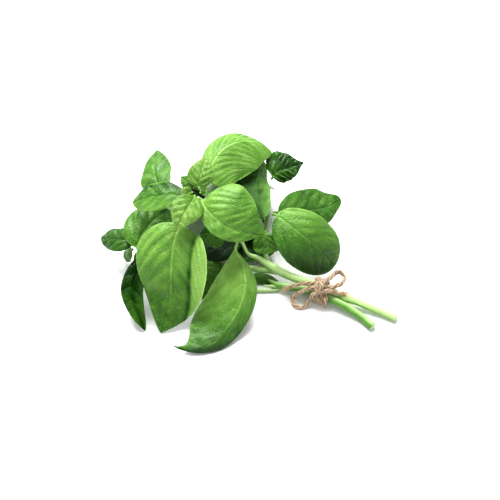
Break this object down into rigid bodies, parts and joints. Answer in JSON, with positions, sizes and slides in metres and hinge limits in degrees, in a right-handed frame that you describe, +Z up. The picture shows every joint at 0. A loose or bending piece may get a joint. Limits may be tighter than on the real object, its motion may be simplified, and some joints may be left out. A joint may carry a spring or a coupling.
{
  "type": "basil bunch",
  "caption": "Bunch of cut basil lying down: leafy shoots with glossy cupped leaves on long stems, tied with jute twine in a small bow.",
  "frame": {"origin": "middle of the bunch's box on the surface it lies on", "axes": "+X along the cut stems towards their cut ends, +Y across the bunch to its back, +Z up"},
  "size_m": [0.1985, 0.1512, 0.0733],
  "materials": {
    "leaf": "satin green leaf, waxy, with sunken veins",
    "young_leaf": "satin yellow-green young leaf, crinkled",
    "stem": "moist green stem with ridged sides",
    "jute_twine": "twisted natural jute, matt and hairy"
  },
  "bodies": {
    "root": {"stem_main": "stem", "stem_second": "stem", "stem_left_shoot": "stem", "stem_right_shoot": "stem", "twig_fork": "stem", "twig_ground": "stem", "leaf_bud_front": "young_leaf", "leaf_bud_back": "young_leaf", "leaf_bud_side": "young_leaf", "leaf_bud_folded": "young_leaf", "leaf_bud_centre": "young_leaf", "leaf_top_left": "leaf", "leaf_top_right": "leaf", "leaf_top_back": "leaf", "leaf_front_left": "leaf", "leaf_back_left": "leaf", "leaf_front": "leaf", "leaf_folded_back": "leaf", "leaf_rugose_right": "leaf", "leaf_right_upper": "leaf", "leaf_right_lower": "leaf", "leaf_small_middle": "leaf", "leaf_left_curled": "leaf", "leaf_far_left": "leaf", "leaf_far_left_low": "leaf", "leaf_left_inner": "leaf", "leaf_left_low": "leaf", "leaf_middle_dark": "leaf", "leaf_between": "leaf", "leaf_under_stems": "leaf", "leaf_inner_low": "leaf", "leaf_inner_right": "leaf", "leaf_inner_top": "leaf", "leaf_back_low": "leaf", "leaf_back_middle": "leaf", "leaf_back_far": "leaf", "leaf_back_right": "leaf", "twine_wraps": "jute_twine", "twine_knot": "jute_twine", "twine_loop_back": "jute_twine", "twine_loop_front": "jute_twine", "twine_tail_left": "jute_twine", "twine_tail_right": "jute_twine"}
  },
  "joints": []
}
